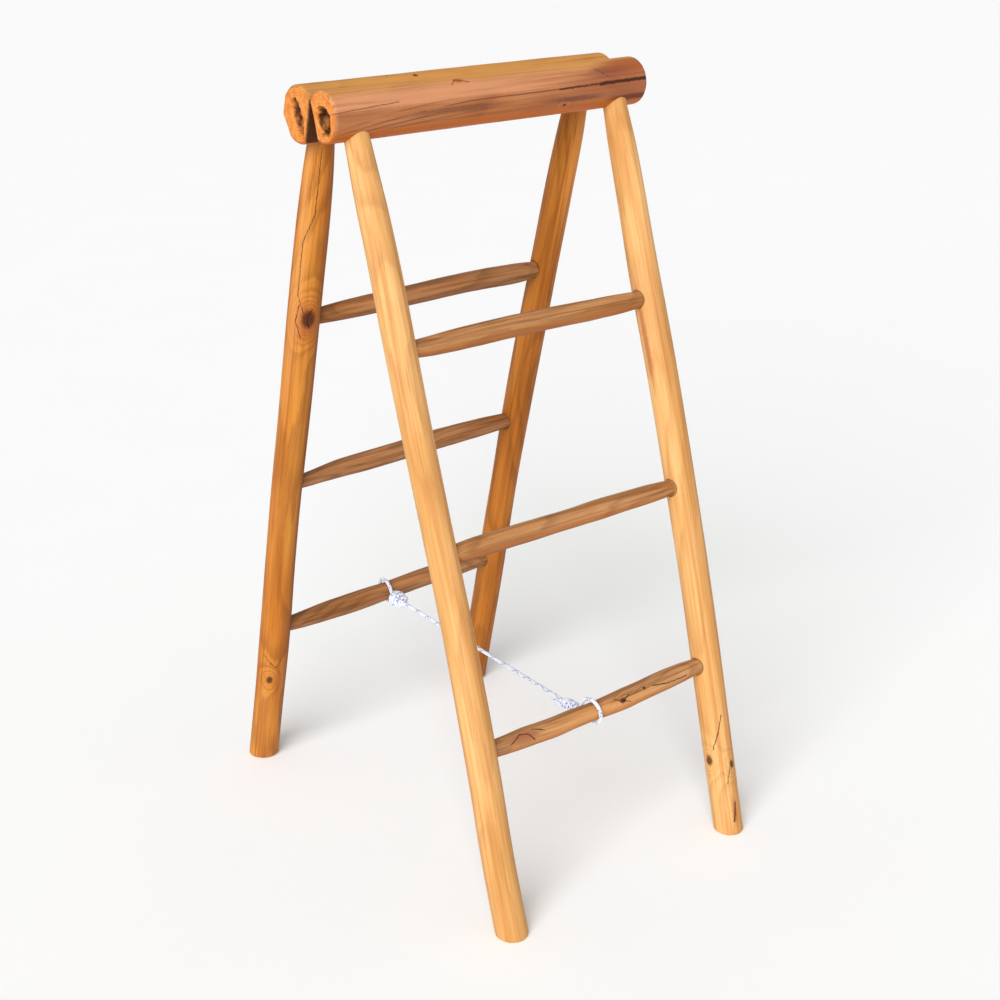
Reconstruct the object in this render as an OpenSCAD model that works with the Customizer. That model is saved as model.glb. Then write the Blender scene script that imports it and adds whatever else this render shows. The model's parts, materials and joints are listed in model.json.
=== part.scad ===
// Folding wooden towel rack: two ladders of round wood, hinged along their top logs.
// A cord tied between the two bottom rungs holds the ladders open.
// Millimetres, +Z up. The origin is on the floor, midway between the four feet.
// "Front" is the ladder on the -Y side, "left" is -X.

/* [Frame] */
// Height of the hinge line above the floor when the rack stands open
hinge_h = 1182; // [1100:1:1250]
// Lean of each ladder from upright when the rack stands open, degrees
half_tilt = 15.2; // [14.6:0.1:15.4]
// Distance of the leg and rung axes from the hinge plane
leg_offset = 30; // [29:0.5:31]
// Gap between the two flats when the rack is folded
flat_gap = 2; // [2:0.1:3]

/* [Top logs] */
// Radius of the front log
front_log_r = 35.5; // [34:0.5:37]
// Radius of the rear log
rear_log_r = 40; // [38:0.5:42]
// Length of the front log
front_log_len = 565; // [540:5:600]
// How far the front log's middle lies to the right
front_log_shift = 2.5; // [-5:0.5:5]
// Length of the rear log
rear_log_len = 556; // [540:4:600]
// How far the rear log's middle lies to the right
rear_log_shift = -1; // [-5:0.5:5]
// Distance of a log's flat from its centre, as a share of the radius
flat_share = 0.64; // [0.6:0.01:0.68]
// Rounding of the log's end edges
log_round = 5; // [2:0.5:8]

/* [Legs] */
// Distance between the front leg axes at the hinge
front_top_span = 472; // [460:2:480]
// Distance between the front leg axes at the floor
front_foot_span = 456; // [450:2:480]
// Distance between the rear leg axes, the same from top to bottom
rear_span = 472; // [460:2:480]
// Leg radius just under the log
leg_top_r = 19; // [18.5:0.1:20]
// Leg radius at the thickest part of its upper half
leg_mid_r = 23.5; // [22:0.5:25]
// Leg radius at the foot
leg_foot_r = 25; // [23:0.5:26]
// Radius of the leg's round tenon in the log
leg_tenon_r = 18; // [16:0.5:18]

/* [Rungs] */
// Rung radius along the middle
rung_r = 16; // [14:0.5:16]
// Rung radius where it meets the leg
rung_end_r = 12.5; // [11:0.5:13]
// Length of the taper at each end of a rung
rung_taper = 60; // [30:5:80]
// Radius of the rung's round tenon in the leg
rung_tenon_r = 10; // [8:0.5:10]
// How far a rung tenon goes past the leg's axis
rung_past = 7; // [3:1:9]

/* [Hinges] */
// Distance of each hinge from the middle of the logs
hinge_x = 150; // [120:5:170]
// Length of a hinge
hinge_len = 60; // [60:1:65]
// Width of a hinge leaf
leaf_w = 28; // [27:0.5:32]
// Thickness of a hinge leaf
leaf_t = 1.8; // [1.5:0.1:2]
// Outer radius of the knuckles
knuckle_r = 3.5; // [3.4:0.1:3.6]
// Radius of the hinge pin
pin_r = 1.5; // [1.4:0.05:1.5]
// Length of a screw
screw_len = 18; // [14:1:24]

/* [Cord] */
// Diameter of the braided cord
cord_d = 6; // [5:0.5:6]
// Radius of the front knot
front_knot_r = 10; // [8:0.5:11]
// Radius of the rear knot
rear_knot_r = 13; // [10:0.5:14]

/* [Hidden] */
$fn = 64;

// Wood and metal colours of the plain model
FRONT_WOOD = "#e0a55e";
REAR_WOOD = "#c4803a";
LOG_WOOD = "#c98a52";
RUNG_WOOD = "#a9805a";
STEEL = "#b9b9b4";
CORD = "#eeeef4";

// Distance of each rung below the hinge line, measured along the ladder, at its left and right end
front_rungs = [[357, 358], [657, 658], [953, 951]];
rear_rungs = [[357, 351], [656, 646], [949, 944]];

// Small clearances of parts that are fitted into holes
wood_fit = 0.15;
slip_fit = 0.08;
past_cut = 50;
floor_cut = 800;

// Leg length along the ladder from hinge line to floor, and where the tenon in the log ends
leg_len = (hinge_h + leg_offset * sin(half_tilt)) / cos(half_tilt);
tenon_top = 22;
tenon_bevel = 2;
leg_swell = 140;

// Hinge details
knuckles = 5;
knuckle_gap = 0.15;
leaf_inset = 0.1;
leaf_top = 4.6;
groove_r = knuckle_r + 0.7;
pin_head_r = 2.6;
pin_head_h = 1.2;
screw_r = 1.4;
screw_head_r = 2.9;
screw_head_h = 1.6;
screw_spots = [[-20, 12], [0, 21], [20, 12]];

// The cord runs in the plane x = cord_x, from the front knot to the rear knot.
// Each point is [y, z]. It bends at the second and fourth points when the rack folds,
// and the two halves of the cord meet at the middle point.
cord_x = -6;
cord_route = [[-216, 256], [-49, 261.5], [3, 263.2], [55, 264.9], [226, 270.5]];
cord_sides = 10;
cord_ring_pitch = 15;

// Where the cord's loops turn on the bottom rungs, as [y, z], and how loose they are
front_tie_axis = [-278.5, 266];
rear_tie_axis = [277.2, 276.3];
front_loop_slack = 5.5;
rear_loop_slack = 1;
front_knot_len = 38;
rear_knot_len = 30;

// Places its children, drawn upright around the hinge line, in the open position of a ladder.
// In a ladder's own frame the origin is on the hinge line, -Y is outward and -Z is down the legs.
module front_half() {
    translate([0, 0, hinge_h]) rotate([-half_tilt, 0, 0]) children();
}

module rear_half() {
    mirror([0, 1, 0]) front_half() children();
}

// Quarter of a circle as points, from angle a to angle a + 90
function arc(cx, cy, r, a, n = 6) = [
    for (i = [0:n]) let (turn = a + 90 * i / n) [cx + r * cos(turn), cy + r * sin(turn)]
];

// Centre of a log's round, seen along the hinge line
function log_y(r) = -(flat_gap / 2 + flat_share * r);
function log_z(r) = -r * sqrt(1 - flat_share * flat_share);

// Radius of a leg at a distance s below the hinge line
function leg_r(s, neck) =
    s < neck + leg_swell
        ? leg_top_r + (leg_mid_r - leg_top_r) * (s - neck) / leg_swell
        : leg_mid_r + (leg_foot_r - leg_mid_r) * (s - neck - leg_swell) / (leg_len - neck - leg_swell);

// Half distance between the leg axes at a distance s below the hinge line
function half_span(top, foot, s) = (top + (foot - top) * s / leg_len) / 2;

// Frame of one leg: the axis of the leg is the local Z axis, and side is -1 left or 1 right
module on_leg(side, top_span, foot_span) {
    splay = atan((foot_span - top_span) / 2 / leg_len);
    translate([side * top_span / 2, -leg_offset, 0]) rotate([0, -side * splay, 0]) children();
}

// Frame of one rung: the axis is the local Z axis, which points to the right leg
module on_rung(ends, spans) {
    width = spans[0] + spans[1];
    middle = (ends[0] + ends[1]) / 2;
    slope = atan((ends[1] - ends[0]) / width);
    translate([(spans[1] - spans[0]) / 2, -leg_offset, -middle]) rotate([0, 90 + slope, 0]) children();
}

// Solid of one leg before its holes, from the tenon's top to past the floor
module leg_body(neck) {
    swell_s = neck + leg_swell;
    foot_s = leg_len + past_cut;
    rotate([180, 0, 0]) rotate_extrude() polygon([
        [0, tenon_top],
        [leg_tenon_r - tenon_bevel, tenon_top],
        [leg_tenon_r, tenon_top + tenon_bevel],
        [leg_tenon_r, neck],
        [leg_r(neck, neck), neck + 1],
        [leg_r(swell_s, neck), swell_s],
        [leg_r(foot_s, neck), foot_s],
        [0, foot_s]
    ]);
}

// One leg in its ladder's frame, with a blind hole for each rung and its tenon at the top
module leg(side, top_span, foot_span, neck, rungs) {
    difference() {
        on_leg(side, top_span, foot_span) leg_body(neck);
        for (ends = rungs) rung_hole(side, ends, top_span, foot_span);
    }
}

function rung_spans(ends, top, foot) = [half_span(top, foot, ends[0]), half_span(top, foot, ends[1])];

module rung_hole(side, ends, top_span, foot_span) {
    spans = rung_spans(ends, top_span, foot_span);
    half = (spans[0] + spans[1]) / 2;
    on_rung(ends, spans)
        translate([0, 0, side > 0 ? 0 : -half - rung_past - 1])
            cylinder(r = rung_tenon_r + wood_fit, h = half + rung_past + 1);
}

// One rung with a taper and a round tenon at each end
module rung(ends, top_span, foot_span, neck) {
    spans = rung_spans(ends, top_span, foot_span);
    half = (spans[0] + spans[1]) / 2;
    shoulder = half - leg_r(max(ends[0], ends[1]), neck) - 0.5;
    tip = half + rung_past;
    profile = [
        [rung_tenon_r - tenon_bevel, tip],
        [rung_tenon_r, tip - tenon_bevel],
        [rung_tenon_r, shoulder],
        [rung_end_r, shoulder - 3],
        [(rung_end_r + 2 * rung_r) / 3, shoulder - rung_taper / 2],
        [rung_r, shoulder - rung_taper]
    ];
    on_rung(ends, spans) rotate_extrude() polygon(concat(
        [[0, tip]],
        profile,
        [for (i = [len(profile) - 1:-1:0]) [profile[i][0], -profile[i][1]]],
        [[0, -tip]]
    ));
}

// A log lying along the hinge line, with a flat towards the other log
module log_body(r, length, shift) {
    half = length / 2;
    e = log_round;
    translate([shift, log_y(r), log_z(r)]) rotate([0, 90, 0]) rotate_extrude() polygon(concat(
        [[0, -half]],
        arc(r - e, e - half, e, -90),
        arc(r - e, half - e, e, 0),
        [[0, half]]
    ));
}

module top_log(r, length, shift, top_span, foot_span) {
    difference() {
        log_body(r, length, shift);
        translate([-length, -flat_gap / 2, -3 * r]) cube([2 * length, 4 * r, 6 * r]);
        for (side = [-1, 1])
            on_leg(side, top_span, foot_span)
                translate([0, 0, -leg_len])
                    cylinder(r = leg_tenon_r + wood_fit, h = leg_len - tenon_top + 0.5);
        for (x = [-hinge_x, hinge_x]) translate([x, 0, 0]) hinge_recess();
    }
}

// What a log loses to one hinge: the knuckles' groove, the leaf's seat and the screw holes
module hinge_recess() {
    seat = leaf_inset + leaf_t + 0.05;
    rotate([0, 90, 0]) cylinder(r = groove_r, h = hinge_len + 6, center = true);
    translate([-hinge_len / 2 - 0.3, -flat_gap / 2 - seat, -leaf_w - 0.3])
        cube([hinge_len + 0.6, seat + 1, leaf_w + 0.3]);
    for (p = screw_spots)
        translate([p[0], 0, -p[1]]) rotate([90, 0, 0])
            cylinder(r = screw_r + 0.1, h = flat_gap / 2 + screw_len + 2);
}

// One leaf of a hinge at x = 0; first is 0 for the leaf with three knuckles, 1 for two
module leaf(first) {
    pitch = hinge_len / knuckles;
    face = flat_gap / 2 + leaf_inset;
    difference() {
        union() {
            translate([-hinge_len / 2, -face - leaf_t, -leaf_w])
                cube([hinge_len, leaf_t, leaf_w - leaf_top]);
            for (i = [first:2:knuckles - 1]) {
                x = -hinge_len / 2 + i * pitch + knuckle_gap;
                translate([x, -face - leaf_t, -leaf_top])
                    cube([pitch - 2 * knuckle_gap, leaf_t, leaf_top]);
                translate([x, 0, 0]) rotate([0, 90, 0])
                    cylinder(r = knuckle_r, h = pitch - 2 * knuckle_gap);
            }
        }
        rotate([0, 90, 0]) cylinder(r = pin_r + slip_fit, h = hinge_len + 2, center = true);
        for (p = screw_spots)
            translate([p[0], -face, -p[1]]) rotate([90, 0, 0]) {
                translate([0, 0, -0.1]) cylinder(r = screw_r + 0.2, h = leaf_t + 1);
                translate([0, 0, -0.01])
                    cylinder(r1 = screw_head_r + 0.1, r2 = screw_r + 0.2, h = screw_head_h);
            }
    }
}

// The pin of a hinge at x = 0, with a flat head at each end
module pin() {
    rod = hinge_len + 0.6;
    rotate([0, 90, 0]) {
        cylinder(r = pin_r, h = rod, center = true);
        for (end = [-1, 1])
            translate([0, 0, end * (rod + pin_head_h) / 2])
                cylinder(r = pin_head_r, h = pin_head_h, center = true);
    }
}

// The three countersunk screws of one leaf
module screws() {
    for (p = screw_spots)
        translate([p[0], -flat_gap / 2 - leaf_inset - 0.1, -p[1]]) rotate([90, 0, 0]) {
            cylinder(r1 = screw_head_r, r2 = screw_r, h = screw_head_h - 0.1);
            cylinder(r = screw_r, h = screw_len - 4);
            translate([0, 0, screw_len - 4]) cylinder(r1 = screw_r, r2 = 0.3, h = 4);
        }
}

// A closed loop of cord round a rung
module cord_loop(axis, r) {
    translate([cord_x, axis[0], axis[1]]) rotate([0, 90, 0])
        rotate_extrude() translate([r, 0]) circle(d = cord_d);
}

// A knot from the route point end towards its rung; next is the route point after end
module knot(end, next, length, r) {
    slope = atan2(end[1] - next[1], end[0] - next[0]);
    steps = 12;
    outline = [for (i = [0:steps]) let (turn = 180 * i / steps)
        [cord_d / 2 + (r - cord_d / 2) * sin(turn), length * (1 - cos(turn)) / 2]];
    translate([cord_x, end[0], end[1]]) rotate([slope - 90, 0, 0])
        rotate_extrude() polygon(concat([[0, 0]], outline, [[0, length]]));
}

// Points every cord_ring_pitch or less from a to b
function between(a, b) =
    let (n = ceil(norm(b - a) / cord_ring_pitch))
    [for (i = [0:n]) a + (b - a) * i / n];

// A length of cord swept from route point a to route point b
module cord_run(a, b) {
    points = between(a, b);
    u = (b - a) / norm(b - a);
    n = cord_sides;
    rings = len(points);
    verts = [for (p = points) for (k = [0:n - 1])
        let (c = cos(360 * k / n) * cord_d / 2, s = sin(360 * k / n) * cord_d / 2)
        [cord_x + c, p[0] - s * u[1], p[1] + s * u[0]]];
    sides = [for (i = [0:rings - 2]) for (k = [0:n - 1])
        [i * n + k, i * n + (k + 1) % n, (i + 1) * n + (k + 1) % n, (i + 1) * n + k]];
    caps = [[for (k = [n - 1:-1:0]) k], [for (k = [0:n - 1]) (rings - 1) * n + k]];
    polyhedron(points = verts, faces = concat(sides, caps));
}

front_neck = -log_z(front_log_r) + front_log_r;
rear_neck = -log_z(rear_log_r) + rear_log_r;

module front_top_log() {
    color(LOG_WOOD) front_half()
        top_log(front_log_r, front_log_len, front_log_shift, front_top_span, front_foot_span);
}

module rear_top_log() {
    color(LOG_WOOD) rear_half()
        top_log(rear_log_r, rear_log_len, rear_log_shift, rear_span, rear_span);
}

// Cuts a part level with the floor
module above_floor() {
    difference() {
        children();
        translate([-floor_cut, -floor_cut, -floor_cut]) cube([2 * floor_cut, 2 * floor_cut, floor_cut]);
    }
}

module front_leg(side) {
    color(FRONT_WOOD) above_floor() front_half()
        leg(side, front_top_span, front_foot_span, front_neck, front_rungs);
}

module rear_leg(side) {
    color(REAR_WOOD) above_floor() rear_half()
        leg(side, rear_span, rear_span, rear_neck, rear_rungs);
}

module front_left_leg() { front_leg(-1); }
module front_right_leg() { front_leg(1); }
module rear_left_leg() { rear_leg(-1); }
module rear_right_leg() { rear_leg(1); }

module front_rung(i) {
    color(RUNG_WOOD) front_half() rung(front_rungs[i], front_top_span, front_foot_span, front_neck);
}

module rear_rung(i) {
    color(RUNG_WOOD) rear_half() rung(rear_rungs[i], rear_span, rear_span, rear_neck);
}

module front_upper_rung() { front_rung(0); }
module front_middle_rung() { front_rung(1); }
module front_lower_rung() { front_rung(2); }
module rear_upper_rung() { rear_rung(0); }
module rear_middle_rung() { rear_rung(1); }
module rear_lower_rung() { rear_rung(2); }

module front_leaf(x) { color(STEEL) front_half() translate([x, 0, 0]) leaf(0); }
module rear_leaf(x) { color(STEEL) rear_half() translate([x, 0, 0]) leaf(1); }
module hinge_pin(x) { color(STEEL) front_half() translate([x, 0, 0]) pin(); }
module left_hinge_front_leaf() { front_leaf(-hinge_x); }
module left_hinge_rear_leaf() { rear_leaf(-hinge_x); }
module left_hinge_pin() { hinge_pin(-hinge_x); }
module right_hinge_front_leaf() { front_leaf(hinge_x); }
module right_hinge_rear_leaf() { rear_leaf(hinge_x); }
module right_hinge_pin() { hinge_pin(hinge_x); }
module left_front_screws() { color(STEEL) front_half() translate([-hinge_x, 0, 0]) screws(); }
module left_rear_screws() { color(STEEL) rear_half() translate([-hinge_x, 0, 0]) screws(); }
module right_front_screws() { color(STEEL) front_half() translate([hinge_x, 0, 0]) screws(); }
module right_rear_screws() { color(STEEL) rear_half() translate([hinge_x, 0, 0]) screws(); }

module front_cord_loop() {
    color(CORD) cord_loop(front_tie_axis, rung_r + cord_d / 2 + front_loop_slack);
}

module rear_cord_loop() {
    color(CORD) cord_loop(rear_tie_axis, rung_r + cord_d / 2 + rear_loop_slack);
}

module front_cord_knot() { color(CORD) knot(cord_route[0], cord_route[1], front_knot_len, front_knot_r); }
module rear_cord_knot() { color(CORD) knot(cord_route[4], cord_route[3], rear_knot_len, rear_knot_r); }
module front_cord() { color(CORD) cord_run(cord_route[0], cord_route[1]); }
module front_cord_end() { color(CORD) cord_run(cord_route[1], cord_route[2]); }
module rear_cord_end() { color(CORD) cord_run(cord_route[2], cord_route[3]); }
module rear_cord() { color(CORD) cord_run(cord_route[3], cord_route[4]); }

front_top_log();
rear_top_log();
front_left_leg();
front_right_leg();
rear_left_leg();
rear_right_leg();
front_upper_rung();
front_middle_rung();
front_lower_rung();
rear_upper_rung();
rear_middle_rung();
rear_lower_rung();
left_hinge_front_leaf();
left_hinge_rear_leaf();
left_hinge_pin();
right_hinge_front_leaf();
right_hinge_rear_leaf();
right_hinge_pin();
left_front_screws();
left_rear_screws();
right_front_screws();
right_rear_screws();
front_cord_loop();
front_cord_knot();
front_cord();
front_cord_end();
rear_cord_loop();
rear_cord_knot();
rear_cord();
rear_cord_end();
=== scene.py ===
"""Folding teak towel rack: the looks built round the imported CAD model.

Metres, +Z up, in the frame of the CAD. "front" is the ladder on the -Y side, "left" is -X.
A ladder's own frame has its origin on the hinge line, x along it, ly inward and lz up the ladder.
"""

import json
import math

import bmesh
import bpy
import numpy as np
from mathutils import Matrix, Vector, noise


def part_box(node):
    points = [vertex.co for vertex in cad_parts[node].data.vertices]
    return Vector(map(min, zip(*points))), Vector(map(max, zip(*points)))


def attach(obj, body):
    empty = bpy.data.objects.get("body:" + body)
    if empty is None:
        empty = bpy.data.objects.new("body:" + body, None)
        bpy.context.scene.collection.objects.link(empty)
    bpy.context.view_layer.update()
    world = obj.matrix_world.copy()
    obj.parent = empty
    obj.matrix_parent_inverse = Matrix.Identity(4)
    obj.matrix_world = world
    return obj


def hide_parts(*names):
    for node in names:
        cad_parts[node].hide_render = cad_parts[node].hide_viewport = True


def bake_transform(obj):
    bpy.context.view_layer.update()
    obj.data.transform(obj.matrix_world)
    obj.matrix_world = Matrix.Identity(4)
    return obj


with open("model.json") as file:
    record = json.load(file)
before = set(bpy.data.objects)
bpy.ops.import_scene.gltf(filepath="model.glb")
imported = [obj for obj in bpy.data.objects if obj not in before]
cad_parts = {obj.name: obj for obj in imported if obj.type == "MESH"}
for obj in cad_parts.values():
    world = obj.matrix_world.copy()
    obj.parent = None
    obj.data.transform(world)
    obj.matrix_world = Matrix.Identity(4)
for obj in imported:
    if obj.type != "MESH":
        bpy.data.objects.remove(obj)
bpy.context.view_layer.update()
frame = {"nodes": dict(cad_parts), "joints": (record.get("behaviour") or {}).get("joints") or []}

# ---------------- driving dimensions

JOINTS = {joint["name"]: joint for joint in frame["joints"]}
HINGE_H = JOINTS["fold"]["pos_m"][2]
TILT = math.radians(JOINTS["fold"]["range_deg"][1] / 2)
LEG_OFFSET = 0.030
LEG_LENGTH = (HINGE_H + LEG_OFFSET * math.sin(TILT)) / math.cos(TILT)
TENON_TOP = 0.022
FLAT_LY = -0.001
FLAT_SHARE = 0.64
LOG_RADIUS = {"front": 0.0355, "rear": 0.040}
TOP_SPAN = {"front": 0.472, "rear": 0.472}
FOOT_SPAN = {"front": 0.456, "rear": 0.472}
RUNG_ENDS = {
    "front": ((0.357, 0.358), (0.657, 0.658), (0.953, 0.951)),
    "rear": ((0.357, 0.351), (0.656, 0.646), (0.949, 0.944)),
}
CORD_D = 0.006


def place(half, points):
    """Points of a ladder's own frame, put where the open rack has them."""
    x, ly, lz = np.asarray(points, float).T
    y = ly * math.cos(TILT) + lz * math.sin(TILT)
    z = HINGE_H + lz * math.cos(TILT) - ly * math.sin(TILT)
    return np.stack([x, y if half == "front" else -y, z], 1)


def to_ladder(half, points):
    """The reverse of place()."""
    x, y, z = np.asarray(points, float).T
    y = y if half == "front" else -y
    z = z - HINGE_H
    ly = y * math.cos(TILT) - z * math.sin(TILT)
    lz = y * math.sin(TILT) + z * math.cos(TILT)
    return np.stack([x, ly, lz], 1)


# ---------------- camera

CAMERA_AZIMUTH = math.radians(37.68)
CAMERA_ELEVATION = math.radians(21.17)
CAMERA_ROLL = math.radians(-0.91)
CAMERA_DISTANCE = 2.6695
CAMERA_LENS = 60.07
TARGET_SIDE = 0.030
TARGET_HEIGHT = 0.5277


def make_camera():
    """The camera, from the left of the front ladder and a little above."""
    sin_az, cos_az = math.sin(CAMERA_AZIMUTH), math.cos(CAMERA_AZIMUTH)
    cos_el = math.cos(CAMERA_ELEVATION)
    target = Vector((TARGET_SIDE * cos_az, -TARGET_SIDE * sin_az, TARGET_HEIGHT))
    back = Vector((-sin_az * cos_el, -cos_az * cos_el, math.sin(CAMERA_ELEVATION)))
    level = Vector((0, 0, 1)).cross(back).normalized()
    upward = back.cross(level)
    right = level * math.cos(CAMERA_ROLL) + upward * math.sin(CAMERA_ROLL)
    up = upward * math.cos(CAMERA_ROLL) - level * math.sin(CAMERA_ROLL)
    data = bpy.data.cameras.new("camera")
    data.lens = CAMERA_LENS
    data.sensor_width = 36.0
    data.clip_end = 50.0
    camera = bpy.data.objects.new("camera", data)
    bpy.context.scene.collection.objects.link(camera)
    turn = Matrix((right, up, back)).transposed().to_4x4()
    camera.matrix_world = Matrix.Translation(target + back * CAMERA_DISTANCE) @ turn
    bpy.context.scene.camera = camera


make_camera()

# ---------------- mesh helpers


def ease(t):
    t = np.clip(t, 0, 1)
    return t * t * (3 - 2 * t)


def along(points, s):
    """Value at s of a smooth curve through (position, value) pairs."""
    xs, ys = np.array(points, float).T
    slopes = np.gradient(ys, xs)
    s = np.clip(s, xs[0], xs[-1])
    i = np.clip(np.searchsorted(xs, s, side="right") - 1, 0, len(xs) - 2)
    width = xs[i + 1] - xs[i]
    t = (s - xs[i]) / width
    rise = (t**3 - 2 * t**2 + t) * slopes[i] + (t**3 - t**2) * slopes[i + 1]
    return ys[i] + (ys[i + 1] - ys[i]) * (3 * t**2 - 2 * t**3) + rise * width


def in_metres(pairs):
    """(metres, millimetres) pairs as (metres, metres)."""
    return [(place_m, value_mm / 1000) for place_m, value_mm in pairs]


def wobble(points, scale, seed):
    """Smooth noise from -1 to 1 at each point, scaled per axis."""
    shift = Vector((seed * 3.17, seed * 1.31, seed * 2.23))
    sx, sy, sz = scale
    return np.array([noise.noise(Vector((p[0] * sx, p[1] * sy, p[2] * sz)) + shift) for p in points])


def grid_faces(rings, sides, closed=False):
    """Quads of a tube with its rings one after another in the vertex list."""
    faces = []
    for i in range(rings if closed else rings - 1):
        a, b = i * sides, ((i + 1) % rings) * sides
        for k in range(sides):
            n = (k + 1) % sides
            faces.append((a + k, a + n, b + n, b + k))
    return faces


def cap_faces(ring_start, sides, centre, flip):
    faces = [(ring_start + k, ring_start + (k + 1) % sides, centre) for k in range(sides)]
    return [face[::-1] for face in faces] if flip else faces


def new_object(name, verts, faces, grain=None, crease=None):
    """A mesh object with outward normals; grain is its per-point wood position."""
    mesh = bpy.data.meshes.new(name)
    mesh.from_pydata([tuple(v) for v in verts], [], faces)
    mesh.update()
    bm = bmesh.new()
    bm.from_mesh(mesh)
    bmesh.ops.recalc_face_normals(bm, faces=bm.faces)
    bm.to_mesh(mesh)
    bm.free()
    mesh.shade_smooth()
    if crease is not None:
        mesh.set_sharp_from_angle(angle=math.radians(crease))
    obj = bpy.data.objects.new(name, mesh)
    bpy.context.scene.collection.objects.link(obj)
    if grain is not None:
        set_grain(obj, grain)
    return obj


def set_vector(mesh, name, values):
    attribute = mesh.attributes.get(name) or mesh.attributes.new(name, "FLOAT_VECTOR", "POINT")
    attribute.data.foreach_set("vector", np.asarray(values, np.float32).ravel())


def set_grain(obj, grain):
    """Stores the position in the wood, and a map with the girth in radians across and metres along."""
    mesh = obj.data
    grain = np.asarray(grain, float)
    set_vector(mesh, "grain", grain)
    theta = np.arctan2(grain[:, 1], grain[:, 0])
    loops = np.zeros(len(mesh.loops), int)
    mesh.loops.foreach_get("vertex_index", loops)
    u = theta[loops]
    v = grain[loops, 2]
    start = np.zeros(len(mesh.polygons), int)
    total = np.zeros(len(mesh.polygons), int)
    mesh.polygons.foreach_get("loop_start", start)
    mesh.polygons.foreach_get("loop_total", total)
    owner = np.repeat(np.arange(len(start)), total)
    order = np.concatenate([np.arange(a, a + n) for a, n in zip(start, total)])
    low = np.full(len(start), 9.0)
    high = np.full(len(start), -9.0)
    np.minimum.at(low, owner, u[order])
    np.maximum.at(high, owner, u[order])
    wraps = (high - low) > math.pi
    fix = wraps[owner] & (u[order] < 0)
    u[order[fix]] += 2 * math.pi
    layer = mesh.uv_layers.new(name="wrap")
    layer.data.foreach_set("uv", np.stack([u, v], 1).astype(np.float32).ravel())


# ---------------- limbs: legs and rungs


def knot_swell(s, theta, radius, knots):
    """Extra radius round the knots, each ((s, degrees), size, height)."""
    extra = np.zeros_like(s)
    for (at, degrees), size, height in knots:
        turn = (theta - math.radians(degrees) + math.pi) % (2 * math.pi) - math.pi
        d2 = (turn * radius / size) ** 2 + ((s - at) / (1.5 * size)) ** 2
        extra += height * np.exp(-d2)
    return extra


# Leg outlines: (metres below the hinge, radius in mm)
LEG_SHAPES = {
    "front_left": (
        (0.0, 18), (0.06, 18.2), (0.10, 19.7), (0.15, 21.4), (0.22, 22.2), (0.30, 22.8),
        (0.50, 23.0), (0.72, 23.2), (0.90, 24.0), (1.0, 24.2), (1.10, 24.6), (1.25, 25.0),
    ),
    "front_right": (
        (0.0, 18), (0.06, 18.4), (0.12, 21.2), (0.17, 22.2), (0.25, 23.0), (0.34, 23.9),
        (0.60, 24.0), (0.8, 24.0), (1.0, 24.2), (1.25, 24.0),
    ),
    "rear_left": (
        (0.0, 18), (0.07, 19.4), (0.12, 22.2), (0.17, 23.8), (0.30, 24.8), (0.6, 24.7),
        (0.8, 24.6), (0.93, 25.6), (1.0, 25.8), (1.10, 25.0), (1.25, 25.2),
    ),
    "rear_right": (
        (0.0, 18), (0.07, 19.0), (0.12, 21.3), (0.17, 22.4), (0.22, 23.0), (0.34, 23.4),
        (0.66, 24.1), (0.77, 23.4), (0.9, 24.0), (1.25, 24.4),
    ),
}
# Natural crook of each leg: (metres below the hinge, mm to the right)
LEG_CROOK = {
    "front_left": (
        (0.0, 0), (0.10, 2), (0.20, 4.6), (0.40, 5.2), (0.60, 8), (0.72, 10), (0.90, 9.6), (1.0, 8),
        (1.1, 4.4), (1.25, 3.2),
    ),
    "front_right": (
        (0.0, 0), (0.20, 1.6), (0.30, 1.2), (0.50, 5.6), (0.66, 6), (0.85, 5.6), (1.0, 3.2),
        (1.1, 1.3), (1.25, -0.8),
    ),
    "rear_left": (
        (0.0, 2.2), (0.10, 2.2), (0.20, 1.2), (0.30, 0.2), (0.50, 0.5), (0.70, -1), (0.80, -0.3),
        (0.93, 2.1), (1.25, 3.2),
    ),
    "rear_right": (
        (0.0, 1), (0.10, 0.6), (0.20, -2.2), (0.30, -4.4), (0.55, -9), (0.72, -9.3), (0.85, -8.2),
        (1.0, -4), (1.25, -1),
    ),
}
# How far the middle of the front right leg bows away from the rear ladder
FRONT_RIGHT_BOW = 0.008


def leg_axis(half, side, s):
    """Centre of a leg at the distance s below the hinge, in the ladder's frame, as x and ly."""
    name = f"{half}_{'left' if side < 0 else 'right'}"
    span = TOP_SPAN[half] + (FOOT_SPAN[half] - TOP_SPAN[half]) * s / LEG_LENGTH
    bow = FRONT_RIGHT_BOW if name == "front_right" else 0.0
    x = side * span / 2 + along(in_metres(LEG_CROOK[name]), s)
    return x, -LEG_OFFSET - bow * np.sin(math.pi * np.clip(s / LEG_LENGTH, 0, 1))


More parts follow.
